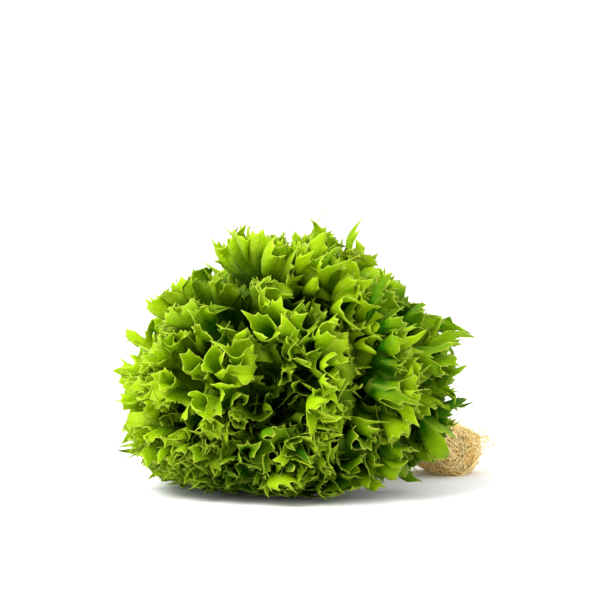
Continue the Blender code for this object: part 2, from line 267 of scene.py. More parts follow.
@dataclass
class Rosette:
    """The rules by which the head opens, shared by all its leaves, in metres and radians."""

    leaf_count: int = 38
    seed: int = 47
    axis_rise: float = math.radians(14)
    dome_ahead: float = 0.055
    dome_above: float = 0.018
    dome_radius: float = 0.132
    dome_sharpness: float = 1.7
    heart_half_width: float = 0.034
    outer_half_width: float = 0.060
    frill_fineness: Span = (0.76, 1.0)
    stem_radius: float = 0.0115
    stem_length: float = 0.036
    golden_angle: float = math.pi * (3 - math.sqrt(5))
    first_azimuth: float = math.radians(20)
    widest_lean: float = math.radians(112)
    heart_lean: float = math.radians(-14)
    heart_lean_fade: float = 8
    heart_crowding: float = 1.3
    heart_fill: float = 0.95
    heart_fill_fade: float = 4
    opening_rate: float = 0.6
    heart_bend: float = math.radians(-35)
    outer_bend: float = math.radians(50)
    bend_centre: float = 0.45
    tip_curl: float = math.radians(30)
    tip_curl_rate: float = 6
    downward_tuck: float = 0.52
    length_spread: Span = (-0.05, 0.03)
    attachment_radius: float = 0.0069
    heart_attachment: float = 0.024
    outer_attachment: float = 0.004
    floor_clearance: float = 0.006
    heart_clearance: float = 0.046
    floor_softness: float = 0.030
    floor_press: float = 0.0088
    steepest_glide: float = 0.4
    lowest_lay: float = 0.0005
    lay_depth: float = 0.004
    settled_share: float = 1.2
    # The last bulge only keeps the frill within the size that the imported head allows
    bulges: tuple[Bulge, ...] = (
        Bulge(way=(-0.43, -0.61, 0.66), height=-0.006, width=0.45),
        Bulge(way=(0.46, 0.66, 0.60), height=-0.009, width=0.30),
        Bulge(way=(0.50, 0.85, -0.05), height=0.010, width=0.30),
        Bulge(way=(0.70, 0.64, -0.33), height=-0.014, width=0.22),
        Bulge(way=(0.40, -0.83, -0.39), height=-0.009, width=0.30),
        Bulge(way=(-1.00, 0.10, 0.02), height=-0.0015, width=0.28),
    )
    axis: Points = field(init=False)
    side: Points = field(init=False)
    top: Points = field(init=False)
    crown: Points = field(init=False)
    dome_centre: Points = field(init=False)

    def __post_init__(self) -> None:
        """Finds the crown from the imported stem, whose box has its middle half a stem away."""
        self.axis = np.array((0.0, -math.cos(self.axis_rise), math.sin(self.axis_rise)))
        self.side = np.array((1.0, 0.0, 0.0))
        self.top = np.cross(self.axis, self.side)
        low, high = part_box(Node.STEM.value)
        self.crown = np.array((low + high) / 2) + self.stem_length / 2 * self.axis
        ahead = np.array((0.0, -self.dome_ahead, self.dome_above))
        self.dome_centre = self.crown + ahead

    def dome_share(self, points: Points) -> Points:
        """How far out points lie between the middle of the head's dome, 0, and its surface, 1."""
        away = np.abs(points - self.dome_centre) / self.dome_radius
        level = np.hypot(away[..., 0], away[..., 1])
        total = level**self.dome_sharpness + away[..., 2] ** self.dome_sharpness
        return total ** (1 / self.dome_sharpness)

    def settle(self, points: Points) -> Points:
        """Presses the head in on one side and lets it swell on another, as it came to lie."""
        away = points - self.dome_centre
        share = np.clip(self.dome_share(points), 0, self.settled_share)[..., None] ** 2
        for bulge in self.bulges:
            near = np.exp((unit(away) @ unit(np.array(bulge.way)) - 1) / bulge.width**2)
            points = points + bulge.height * near[..., None] * share * unit(away)
        return points

    def lie_down(self, points: Points) -> Points:
        """Presses what would reach under the surface into thin layers that lie on it."""
        height = points[..., 2]
        depth = self.floor_softness + self.floor_press
        fall = np.minimum(height - self.floor_softness, 0) / depth
        height = np.where(fall < 0, depth * np.exp(fall) - self.floor_press, height)
        sink = np.minimum(height - self.lay_depth, 0) / self.lay_depth
        height = np.where(sink < 0, self.lay_depth * np.exp(sink), height)
        points[..., 2] = height + self.lowest_lay
        return points


@dataclass
class LeafForm:
    """One leaf's sheet without its fine frill. A point on it is found from two numbers:
    along runs from -1 to 1 round the margin, through the tip at 0, and out runs from 0 at
    the midrib to 1 at the margin."""

    index: float
    rosette: Rosette
    breadth: float = 1.0
    fullness: float = 1.0
    midrib_steps: int = 24
    midrib_rounding: int = 151
    midrib_share: float = 0.70
    fitting_rounds: int = 5
    fitting_reach: float = 0.6
    fitting_places: int = 13
    margin_samples: int = 4000
    shortest_vein: float = 1e-4
    base_half_width: float = 0.010
    widest_shift: float = 0.72
    outline_fullness: float = 0.9
    roll_start: float = 0.55
    roll_radius: float = 0.029
    smallest_ring: float = 0.032
    step: float = 1.5e-3

    def __post_init__(self) -> None:
        """Sets the leaf's lean, bend and width from its place in the rosette."""
        rules = self.rosette
        rng = random.Random(rules.seed + self.index)
        self.rank = (self.index + 0.5) / rules.leaf_count
        azimuth = rules.first_azimuth + self.index * rules.golden_angle
        self.outward = math.cos(azimuth) * rules.side + math.sin(azimuth) * rules.top
        self.across = math.sin(azimuth) * rules.side - math.cos(azimuth) * rules.top
        under = max(0.0, -self.outward[2])
        spread = self.rank**rules.heart_crowding * (1 - math.cos(rules.widest_lean))
        lean = math.acos(1 - spread)
        lean += rules.heart_lean * (1 - self.rank) ** rules.heart_lean_fade
        self.lean = lean * (1 - rules.downward_tuck * under)
        opening = self.rank**rules.opening_rate
        self.bend = between(rules.heart_bend, rules.outer_bend, opening) * (1 - under)
        self.curl = rules.tip_curl * self.rank * (1 - under)
        widest = between(rules.heart_half_width, rules.outer_half_width, opening)
        self.half_width = widest * self.breadth
        self.fineness = between(*rules.frill_fineness, opening) * math.sqrt(self.breadth)
        fill = self.fullness * between(1, rules.heart_fill, (1 - self.rank) ** rules.heart_fill_fade)
        self.fill_dome(fill + rng.uniform(*rules.length_spread))

    def fill_dome(self, share: float) -> None:
        """Finds the length with which the leaf just reaches its share of the head's dome."""
        self.length = self.rosette.dome_radius
        along = np.linspace(-self.fitting_reach, self.fitting_reach, self.fitting_places)
        for _ in range(self.fitting_rounds):
            self.trace_midrib()
            self.measure_margin()
            margin = self.rolled(along, np.ones_like(along))
            self.length *= share / self.rosette.dome_share(margin).max()
        self.trace_midrib()
        self.measure_margin()

    def trace_midrib(self) -> None:
        """Walks from the stem to the tip, bending outwards, and glides over the surface."""
        rules = self.rosette
        floor = between(rules.heart_clearance, rules.floor_clearance, self.rank)
        up_the_stem = between(rules.heart_attachment, rules.outer_attachment, self.rank)
        point = rules.crown + rules.attachment_radius * self.outward + up_the_stem * rules.axis
        points, steps = [point], []
        for step in range(self.midrib_steps):
            share = (step + 0.5) / self.midrib_steps
            lean = self.lean + self.bend * (share - rules.bend_centre)
            lean += self.curl * share**rules.tip_curl_rate
            way = math.cos(lean) * rules.axis + math.sin(lean) * self.outward
            if way[2] < 0:
                room = (point[2] - floor) / rules.floor_softness
                way[2] *= min(1.0, max(-rules.steepest_glide, room))
            way = way / np.linalg.norm(way)
            point = point + way * self.length / self.midrib_steps
            points.append(point)
            steps.append(way)
        tangents = np.array([steps[0], *steps])
        laterals = unit(self.across - (tangents @ self.across)[:, None] * tangents)
        normals = np.cross(laterals, tangents)
        ring = np.linalg.norm(np.cross(np.array(points) - rules.crown, rules.axis), axis=1)
        curving = (tangents @ rules.axis) / np.hypot(ring, self.smallest_ring)
        table = np.concatenate([points, laterals, normals, curving[:, None]], axis=1)
        self.table = rounded(table, self.midrib_rounding)
        self.stations = np.linspace(0, 1, len(self.table))

    def outline(self, along: Points) -> tuple[Points, Points]:
        """The margin of the flat leaf: x across, y from the base to the tip."""
        way = np.abs(along)
        round_way = np.pi * np.minimum(way, 1) ** self.widest_shift
        wide = self.half_width * np.sin(round_way).clip(0) ** self.outline_fullness
        x = np.sign(along) * (wide + self.base_half_width * way**2)
        return x, self.length * np.cos(np.pi * way / 2) ** 2

    def measure_margin(self) -> None:
        """Measures the flat margin from the tip, step by step."""
        self.margin_steps = np.linspace(0, 1, self.margin_samples) ** 2
        x, y = self.outline(self.margin_steps)
        lengths = np.hypot(np.diff(x), np.diff(y))
        self.margin_lengths = np.concatenate([[0], np.cumsum(lengths)])

    def margin_distance(self, along: Points) -> Points:
        """The distance along the flat margin from the tip, negative on the left."""
        reached = np.interp(np.abs(along), self.margin_steps, self.margin_lengths)
        return np.sign(along) * reached

    def foot(self, along: Points) -> Points:
        """Where the vein to this part of the margin leaves the midrib."""
        return self.length * self.midrib_share * (1 - np.abs(along))

    def vein_length(self, along: Points) -> Points:
        """The flat distance from the midrib to this part of the margin."""
        x, y = self.outline(along)
        return np.maximum(np.hypot(x, y - self.foot(along)), self.shortest_vein)

    def smooth(self, along: Points, out: Points) -> Points:
        """The sheet without its frill, bent along the midrib and cupped round the heart."""
        x, y = self.outline(along)
        foot = self.foot(along)
        x, y = x * out, foot + (y - foot) * out
        share = y / self.length
        read = [np.interp(share, self.stations, column) for column in self.table.T]
        points, laterals, normals = (np.stack(read[first : first + 3], -1) for first in (0, 3, 6))
        turn = x * read[-1]
        beyond = np.maximum(share - 1, 0)[..., None] * self.length
        lateral = (x * np.sinc(turn / np.pi))[..., None]
        inward = (x * turn / 2 * np.sinc(turn / 2 / np.pi) ** 2)[..., None]
        onward = unit(self.table[-1, :3] - self.table[-2, :3])
        return points + beyond * onward + lateral * laterals + inward * normals

    def directions(
        self, surface: Surface, along: Points, out: Points
    ) -> tuple[Points, Points, Points]:
        """A surface's points, its tangent along the margin and its normal."""
        here = surface(along, out)
        step = np.where(along > 0, -self.step, self.step)
        tangent = unit((surface(along + step, out) - here) * np.sign(step)[..., None])
        return here, tangent, unit(np.cross(tangent, surface(along, out + self.step) - here))

    def rolled(self, along: Points, out: Points) -> Points:
        """The sheet with its margin rolled outwards, away from the heart."""
        ray = self.vein_length(along)
        turn = np.maximum(out - self.roll_start, 0) * ray / self.roll_radius
        kept = np.minimum(out, self.roll_start) + np.sin(turn) * self.roll_radius / ray
        here, _, normal = self.directions(self.smooth, along, kept)
        return here - (self.roll_radius * (1 - np.cos(turn)))[..., None] * normal


@dataclass(frozen=True)
class Ruffle:
    """One size of wave in a leaf's frill, in metres. It starts at a share of the way out
    from the midrib, and sways along the margin as it grows, so that its folds overhang."""

    wave_length: float
    height: float
    start: float
    wander: float
    growth: float
    sway: float = 0.3
    calm_base: float = 0.3
    most_grown: float = 1.3
    swell: float = 0.5
    waves: int = 5

    def moves(self, form: LeafForm, rng: random.Random) -> Moves:
        """Makes the function that gives this wave's moves.

        Args:
            form: the leaf.
            rng: the seeded source of its irregularity.

        Returns:
            How far it moves each point along the sheet's normal, and back along its tangent.
        """
        drift = waver(rng, DRIFT_RATES, self.waves, self.wave_length)
        swell = waver(rng, SWELL_RATES, self.waves, self.wave_length)
        start = rng.uniform(0, 2 * math.pi)

        def value(along: Points, out: Points) -> tuple[Points, Points]:
            """The moves at these places."""
            distance = form.margin_distance(along)
            turn = 2 * math.pi * distance / self.wave_length + start
            turn = turn + self.wander * drift(distance)
            size = grown(out, self.start, self.most_grown) ** self.growth
            size = size * calmed(along, self.calm_base)
            height = self.height * size * (1 + self.swell * swell(distance))
            return height * np.sin(turn), self.sway * height * np.sin(2 * turn)

        return value


@dataclass(frozen=True)
class Curl:
    """One size of curl in a leaf's frill, in metres and radians. The margin bends over to one
    side and the other by turns, so that each curl shows its face from above."""

    wave_length: float
    reach: float
    turn: float
    outward: float
    wander: float
    growth: float = 2
    flatness: float = 0.9
    calm_base: float = 0.2
    swell: float = 0.4
    strengths: Span = (0.4, 1.5)
    waves: int = 5

    def phase(self, form: LeafForm, rng: random.Random) -> Wave:
        """Makes the function that gives the curls' phase at each place along the margin.

        Args:
            form: the leaf.
            rng: the seeded source of its irregularity.

        Returns:
            The phase, in radians. The margin is furthest aside at odd quarters of a turn.
        """
        wave_length = self.wave_length * form.fineness
        drift = waver(rng, DRIFT_RATES, self.waves, wave_length)
        start = rng.uniform(0, 2 * math.pi)

        def value(along: Points) -> Points:
            """The phase at these places."""
            distance = form.margin_distance(along)
            return 2 * math.pi * distance / wave_length + start + self.wander * drift(distance)

        return value

    def bend(self, form: LeafForm, phase: Wave, rng: random.Random) -> Wave:
        """Makes the function that gives how far the margin is bent over.

        Args:
            form: the leaf.
            phase: the curls' phase along the margin.
            rng: the seeded source of their unequal strength.

        Returns:
            The angle, positive towards the heart.
        """
        swell = waver(rng, SWELL_RATES, self.waves, self.wave_length * form.fineness)

        def value(along: Points) -> Points:
            """The angle at these places."""
            side = np.tanh(self.flatness * np.sin(phase(along))) / math.tanh(self.flatness)
            strength = 1 + self.swell * swell(form.margin_distance(along))
            strength = np.clip(strength, *self.strengths)
            calm = calmed(along, self.calm_base)
            return self.turn * calm * (side * strength - self.outward)

        return value


@dataclass(frozen=True)
class Frill:
    """All the waves of a leaf's frill: ruffles that start deep in the leaf, then curls near
    its margin that carry one lobe each, billows that gather a few lobes, and fine crinkles
    at the margin itself."""

    ruffles: tuple[Ruffle, ...] = (
        Ruffle(wave_length=0.040, height=0.0112, start=0.0, wander=0.6, growth=1.3),
        Ruffle(wave_length=0.017, height=0.0038, start=0.1, wander=0.6, growth=1.0),
    )
    lobe: Curl = Curl(wave_length=0.0095, reach=0.017, turn=1.05, outward=0.12, wander=0.8)
    billow: Curl = Curl(
        wave_length=0.022, reach=0.046, turn=0.85, outward=0.15, wander=0.7, growth=1.2
    )
    crinkle: Curl = Curl(wave_length=0.0055, reach=0.007, turn=0.80, outward=0.0, wander=0.8)
    curl_sway: float = 0.12
    deepest: float = 0.90
    furthest_over: float = 1.9
    bend_steps: int = 16

    def ruffled(self, surface: Surface, form: LeafForm, rng: random.Random) -> Surface:
        """Adds the ruffles to a surface.

        Args:
            surface: the sheet so far.
            form: the leaf that it belongs to.
            rng: the seeded source of their irregularity.

        Returns:
            The ruffled sheet.
        """
        all_moves = [ruffle.moves(form, rng) for ruffle in self.ruffles]

        def value(along: Points, out: Points) -> Points:
            """The surface's points, moved along its normal and its tangent."""
            here, tangent, normal = form.directions(surface, along, out)
            moved = [moves(along, out) for moves in all_moves]
            height, sway = (sum(parts)[..., None] for parts in zip(*moved))
            return here + height * normal - sway * tangent

        return value

    def curled(
        self, surface: Surface, form: LeafForm, lobes: Wave, rng: random.Random
    ) -> Surface:
        """Adds the lobes' curls, the billows and the crinkles to a surface.

        Args:
            surface: the sheet so far.
            form: the leaf that it belongs to.
            lobes: the phase of the lobes' curls along the margin.
            rng: the seeded source of their irregularity.

        Returns:
            The frilled sheet.
        """
        curls = (self.lobe, self.billow, self.crinkle)
        bends = [self.lobe.bend(form, lobes, rng)]
        bends += [curl.bend(form, curl.phase(form, rng), rng) for curl in curls[1:]]
        reaches = [curl.reach * form.fineness for curl in curls]

        def value(along: Points, out: Points) -> Points:
            """The surface's points. Each vein bends more and more towards the margin, and
            runs straight past it."""
            ray = form.vein_length(along)
            longest = np.minimum(max(reaches), self.deepest * ray)
            start = 1 - longest / ray
            past = np.maximum(out - start, 0) * ray
            ends = [bend(along) for bend in bends]
            step = past / self.bend_steps
            onward, aside = np.zeros_like(past), np.zeros_like(past)
            for number in range(self.bend_steps):
                left = longest - (number + 0.5) * step
                angle = sum(
                    end * np.clip(1 - left / np.minimum(reach, longest), 0, 1) ** curl.growth
                    for end, reach, curl in zip(ends, reaches, curls)
                )
                angle = self.furthest_over * np.tanh(angle / self.furthest_over)
                onward += step * np.cos(angle)
                aside += step * np.sin(angle)
            kept = np.minimum(out, start) + onward / ray
            here, tangent, normal = form.directions(surface, along, kept)
            rise = np.clip(1 - (1 - out) * ray / np.minimum(reaches[0], longest), 0, 1) ** 2
            sway = self.curl_sway * reaches[0] * rise * np.sin(2 * lobes(along))
            return here + aside[..., None] * normal - sway[..., None] * tangent

        return value


@dataclass(frozen=True)
class MarginCut:
    """How the margin runs in and out: pointed lobes, and sharp teeth with hollow bays
    between, in metres. Distances are measured along the ruffled margin."""

    lobe_depth: float = 0.0115
    lobe_start: float = 0.55
    lobe_growth: float = 1.5
    lobe_sharpness: float = 0.85
    lobe_middle: float = 0.35
    lobe_rates: Span = (20, 120)
    lobe_swell: float = 0.5
    lobe_sizes: Span = (0.3, 1.6)
    bay_teeth: float = 0.5
    tooth_height: float = 0.0068
    tooth_start: float = 0.88
    tooth_growth: float = 1.2
    tooth_middle: float = 0.3
    tooth_rates: Span = (150, 600)
    tooth_swell: float = 0.6
    tooth_sizes: Span = (0.25, 1.7)
    tooth_columns: tuple[float, ...] = (1.0, 0.25, 0.0, 0.25)
    size_waves: int = 5
    spacing_drift: float = 0.0016
    spacing_rates: Span = (130, 420)
    spacing_waves: int = 4
    calm_base: float = 0.05
    shared_until: float = 0.6
    samples: int = 1600

    def measure(self, sheet: Surface, side: int) -> Points:
        """Measures one half of the ruffled margin.

        Args:
            sheet: the leaf's ruffled sheet.
            side: -1 for the left half or 1 for the right.

        Returns:
            The distances from the tip to evenly spaced places along the margin.
        """
        ways = side * np.linspace(0, 1, self.samples)
        steps = np.diff(sheet(ways, np.ones(self.samples)), axis=0)
        return np.concatenate([[0], np.cumsum(np.linalg.norm(steps, axis=1))])

    def spread(
        self, places: Points, out: Points, sheet: Surface, rng: random.Random
    ) -> tuple[Points, Points]:
        """Spreads the blank's columns over the ruffled margin, a little unevenly. The halves
        agree at the midrib, where they meet, and each follows its own margin further out.

        Args:
            places: the columns' places on the blank, from -1 to 1.
            out: the points' shares of the way out.
            sheet: the leaf's ruffled sheet.
            rng: the seeded source of the unevenness.

        Returns:
            Each point's place along the margin, and its distance from the tip.
        """
        ways = np.linspace(0, 1, self.samples)
        lengths = {side: self.measure(sheet, side) for side in (-1, 1)}
        mean = (lengths[-1] + lengths[1]) / 2
        drift = waver(rng, self.spacing_rates, self.spacing_waves)
        calm = self.spacing_drift * calmed(places, self.calm_base) * out**2
        own = np.clip(out / self.shared_until, 0, 1) ** 2
        along, distance = np.zeros_like(places), np.zeros_like(places)
        for side, total in lengths.items():
            half = places * side > 0
            placed = np.abs(places[half])
            reached = placed * total[-1]
            reached = np.abs(reached + calm[half] * drift(side * reached))
            free = np.interp(reached, total, ways)
            shared = np.interp(placed * mean[-1], mean, ways)
            along[half] = side * between(shared, free, own[half])
            distance[half] = side * reached
        return along, distance

    def reach(
        self,
        ray: Points,
        out: Points,
        distance: Points,
        tooth: Points,
        phase: Points,
        rng: random.Random,
    ) -> Points:
        """Moves the margin in and out, with a lobe at each curl and a bay between two.

        Args:
            ray: the flat distances from the midrib to the margin, where the points lie.
            out: the points' shares of the way out.
            distance: their distances from the tip along the ruffled margin.
            tooth: their places between a bay, 0, and a tooth's point, 1.
            phase: their places in the run of curls.
            rng: the seeded source of the lobes' and teeth's irregularity.

        Returns:
            The new shares of the way out.
        """
        tooth_size = 1 + self.tooth_swell * waver(rng, self.tooth_rates, self.size_waves)(distance)
        lobe_size = 1 + self.lobe_swell * waver(rng, self.lobe_rates, self.size_waves)(distance)
        bay = np.abs(np.cos(phase)) ** self.lobe_sharpness
        deep = self.lobe_depth * np.clip(lobe_size, *self.lobe_sizes)
        tall = self.tooth_height * np.clip(tooth_size, *self.tooth_sizes)
        tall = tall * between(1, self.bay_teeth, bay)
        lobed = grown(out, self.lobe_start) ** self.lobe_growth
        toothed = grown(out, self.tooth_start) ** self.tooth_growth
        outwards = tall * (tooth - self.tooth_middle) * toothed
        return out + (outwards - deep * (bay - self.lobe_middle) * lobed) / ray


@dataclass(frozen=True)
class LeafBlank:
    """A flat blank that every leaf is copied from: x is the place along the margin and y
    the share of the way out, with columns that double towards the margin."""

    columns: int = 30
    rows: tuple[float, ...] = (0.0, 0.22, 0.46, 0.64, 0.77, 0.87, 0.94, 1.0)
    doubled_past: tuple[float, ...] = (0.10, 0.40, 0.60, 0.80, 0.90)
    rib_half_width: float = 0.06
    rib_taper: float = 0.8

    def model(self) -> bpy.types.Object:
        """Models the blank: a grid whose rows are moved and whose margin is subdivided."""
        deselect_all()
        last = len(self.rows) - 1
        bpy.ops.mesh.primitive_grid_add(x_subdivisions=self.columns, y_subdivisions=last, size=2)
        blank = bpy.context.object
        blank.name = "leaf_blank"
        for corner in blank.data.vertices:
            corner.co.y = self.rows[round((corner.co.y + 1) / 2 * last)]
        for share in self.doubled_past:
            cut_edges(blank, lambda a, b: abs(a.y - b.y) < SAME_LEVEL and a.y > share, 1)
        edit_whole(blank, bpy.ops.mesh.quads_convert_to_tris)
        self.mark(blank)
        return blank

    def mark(self, blank: bpy.types.Object) -> None:
        """Keeps each point's place on the leaf in the UV map, and its rib's thickness."""
        places = coordinates(blank.data)
        corners = np.empty(len(blank.data.loops), np.int32)
        blank.data.loops.foreach_get("vertex_index", corners)
        flat = np.stack([(places[corners, 0] + 1) / 2, places[corners, 1]], -1)
        blank.data.uv_layers.active.name = "leaf"
        blank.data.uv_layers.active.data.foreach_set("uv", flat.astype(np.float32).ravel())
        rib = blank.vertex_groups.new(name="rib")
        for index, (along, out, _) in enumerate(places):
            weight = abs(along) ** self.rib_taper * math.exp(-((out / self.rib_half_width) ** 2))
            rib.add([index], weight, "REPLACE")


@dataclass
class LeafHead:
    """All the leaves, from the small upright heart leaves to the wide outer ones."""

    rosette: Rosette
    finish: bpy.types.Material
    blank: LeafBlank = field(default_factory=LeafBlank)
    cut: MarginCut = field(default_factory=MarginCut)
    frill: Frill = field(default_factory=Frill)
    weld: float = 2e-6
    rib_thickness: float = 0.0028
    blade_share: float = 0.13
    # How much the leaf's folds and its nearness to the floor add to its painted shade.
    fold_shade_weight: float = 1.0
    under_shade_weight: float = 0.16
    under_shade_height: float = 0.075
    tone_spread: float = 0.40
    first_small: int = 9
    small_breadth: float = 0.75
    small_fullness: float = 0.96
    frill_seed: int = 900

    def build(self) -> None:
        """Builds every leaf from one blank, which is then removed."""
        blank = self.blank.model()
        for index in range(self.rosette.leaf_count):
            self.build_leaf(blank, LeafForm(index, self.rosette), f"leaf_{index + 1:02d}")
        for number, index in enumerate(range(self.first_small, self.rosette.leaf_count)):
            form = LeafForm(index + 0.5, self.rosette, self.small_breadth, self.small_fullness)
            self.build_leaf(blank, form, f"small_leaf_{number + 1:02d}")
        bpy.data.objects.remove(blank)

    def build_leaf(self, blank: bpy.types.Object, form: LeafForm, name: str) -> None:
        """Shapes a copy of the blank into one leaf and gives it its thickness.

        Args:
            blank: the flat blank.
            form: the leaf's sheet.
            name: the leaf's name.
        """
        leaf = blank.copy()
        leaf.data = blank.data.copy()
        leaf.name = leaf.data.name = name
        bpy.context.collection.objects.link(leaf)
        points, depth = self.shape(form, coordinates(leaf.data))
        place(leaf.data, points)
        rng = random.Random(self.frill_seed - form.index)
        tone = 1 - form.rank + rng.uniform(-self.tone_spread, self.tone_spread)
        keep_number(leaf.data, "tone", np.full(len(points), tone))
        # depth drives the painted shade of the leaf's finish.
        keep_number(leaf.data, "depth", depth)
        edit_whole(leaf, bpy.ops.mesh.remove_doubles, threshold=self.weld)
        self.thicken(leaf)
        leaf.data.materials.append(self.finish)
        bpy.ops.object.shade_smooth()
        hand_over(leaf, Node.LEAF_HEAD, Slot.LEAF)

    def shape(self, form: LeafForm, places: Points) -> tuple[Points, Points]:
        """Finds where the blank's points lie on the frilled leaf.

        Args:
            form: the leaf's sheet.
            places: the points' places on the blank.

        Returns:
            The points in the plant's frame, and how deep each lies in the head, in the
            leaf's own folds and under the plant, which the finish paints as shade.
        """
        rng = random.Random(self.frill_seed + form.index)
        sheet = self.frill.ruffled(form.rolled, form, rng)
        lobes = self.frill.lobe.phase(form, rng)
        sheet = self.frill.curled(sheet, form, lobes, rng)
        out = places[:, 1]
        columns = self.blank.columns * 2 ** len(self.blank.doubled_past)
        column = np.rint((places[:, 0] + 1) / 2 * columns).astype(int)
        teeth = np.array(self.cut.tooth_columns)
        tooth = teeth[column % len(teeth)]
        along, distance = self.cut.spread(places[:, 0], out, sheet, rng)
        ray = form.vein_length(along) / form.fineness
        reach = self.cut.reach(ray, out, distance, tooth, lobes(along), rng)
        points = self.rosette.settle(sheet(along, reach))
        # Painted shade: points deep in the head, in the leaf's folds and low under the plant are
        # darkened.
        share = self.rosette.dome_share(points)
        fold = self.rosette.dome_share(form.rolled(along, out)) - share
        under = np.clip(1 - points[:, 2] / self.under_shade_height, 0, 1)
        depth = 1 - share + self.fold_shade_weight * fold + self.under_shade_weight * under
        return self.rosette.lie_down(points), depth

    def thicken(self, leaf: bpy.types.Object) -> None:
        """Gives the sheet its thickness, most of it in the lower midrib."""
        wall = leaf.modifiers.new("thickness", "SOLIDIFY")
        wall.thickness = self.rib_thickness
        wall.offset = 0
        wall.vertex_group = "rib"
        wall.thickness_vertex_group = self.blade_share
        apply_all(leaf)


@dataclass
class Stem:
    """The pale stump, with its leaf scars. It runs on into the head as the stalk that the
    leaves grow from."""

    rosette: Rosette
    finish: bpy.types.Material
    sides: int = 48
    rings: int = 36
    stalk_length: float = 0.030
    stalk_taper: float = 0.55
    waist: float = 0.10
    scar_depth: float = 0.0006
    scar_rows: int = 7
    scar_slant: int = 2
    scar_waves: int = 3
    fibre_depth: float = 0.00012
    fibre_count: int = 17
    sharp_angle: float = math.radians(50)

    def build(self) -> None:
        """Models the stump from a cylinder cut into rings."""
        rules = self.rosette
        length = rules.stem_length + self.stalk_length
        radius = rules.stem_radius
        stem = ringed_cylinder("stump", self.sides, radius, length, self.rings, "TRIFAN")
        place(stem.data, self.shape(coordinates(stem.data), length))
        stem.data.materials.append(self.finish)
        choose(stem)
        bpy.ops.object.shade_smooth_by_angle(angle=self.sharp_angle)
        hand_over(stem, Node.STEM, Slot.STEM)

    def shape(self, points: Points, length: float) -> Points:
        """Gives the stump its waist, its taper, its scars and its place.

        Args:
            points: the upright cylinder's points round the origin.
            length: the cylinder's length.

        Returns:
            The points in the plant's frame.
        """
        rules = self.rosette
        height = points[:, 2] + length / 2
        turn = np.arctan2(points[:, 1], points[:, 0])
        below = np.clip(height / rules.stem_length, 0, 1)
        inside = np.clip((height - rules.stem_length) / self.stalk_length, 0, 1)
        width = 1 - self.waist * np.sin(np.pi * below) - self.stalk_taper * inside**2
        scar = self.scar_rows * 2 * np.pi * below + self.scar_slant * turn
        scar = np.sin(scar + np.sin(self.scar_waves * turn))
        fibre = self.fibre_depth * np.sin(self.fibre_count * turn)
        ridge = self.scar_depth * np.maximum(scar, 0) ** 3 + fibre
        radius = np.hypot(points[:, 0], points[:, 1])
        radius = radius * width + np.where(radius > 0, ridge * np.sin(np.pi * below), 0)
        flat = radius[:, None] * (
            np.cos(turn)[:, None] * rules.side + np.sin(turn)[:, None] * rules.top
        )
        start = rules.crown - rules.stem_length * rules.axis
        return start + height[:, None] * rules.axis + flat


class StrandKind(Enum):
    """The ways in which the roots run."""

    NECK = "neck"
    WRAP = "wrap"
    TANGLE = "tangle"
    WISP = "wisp"


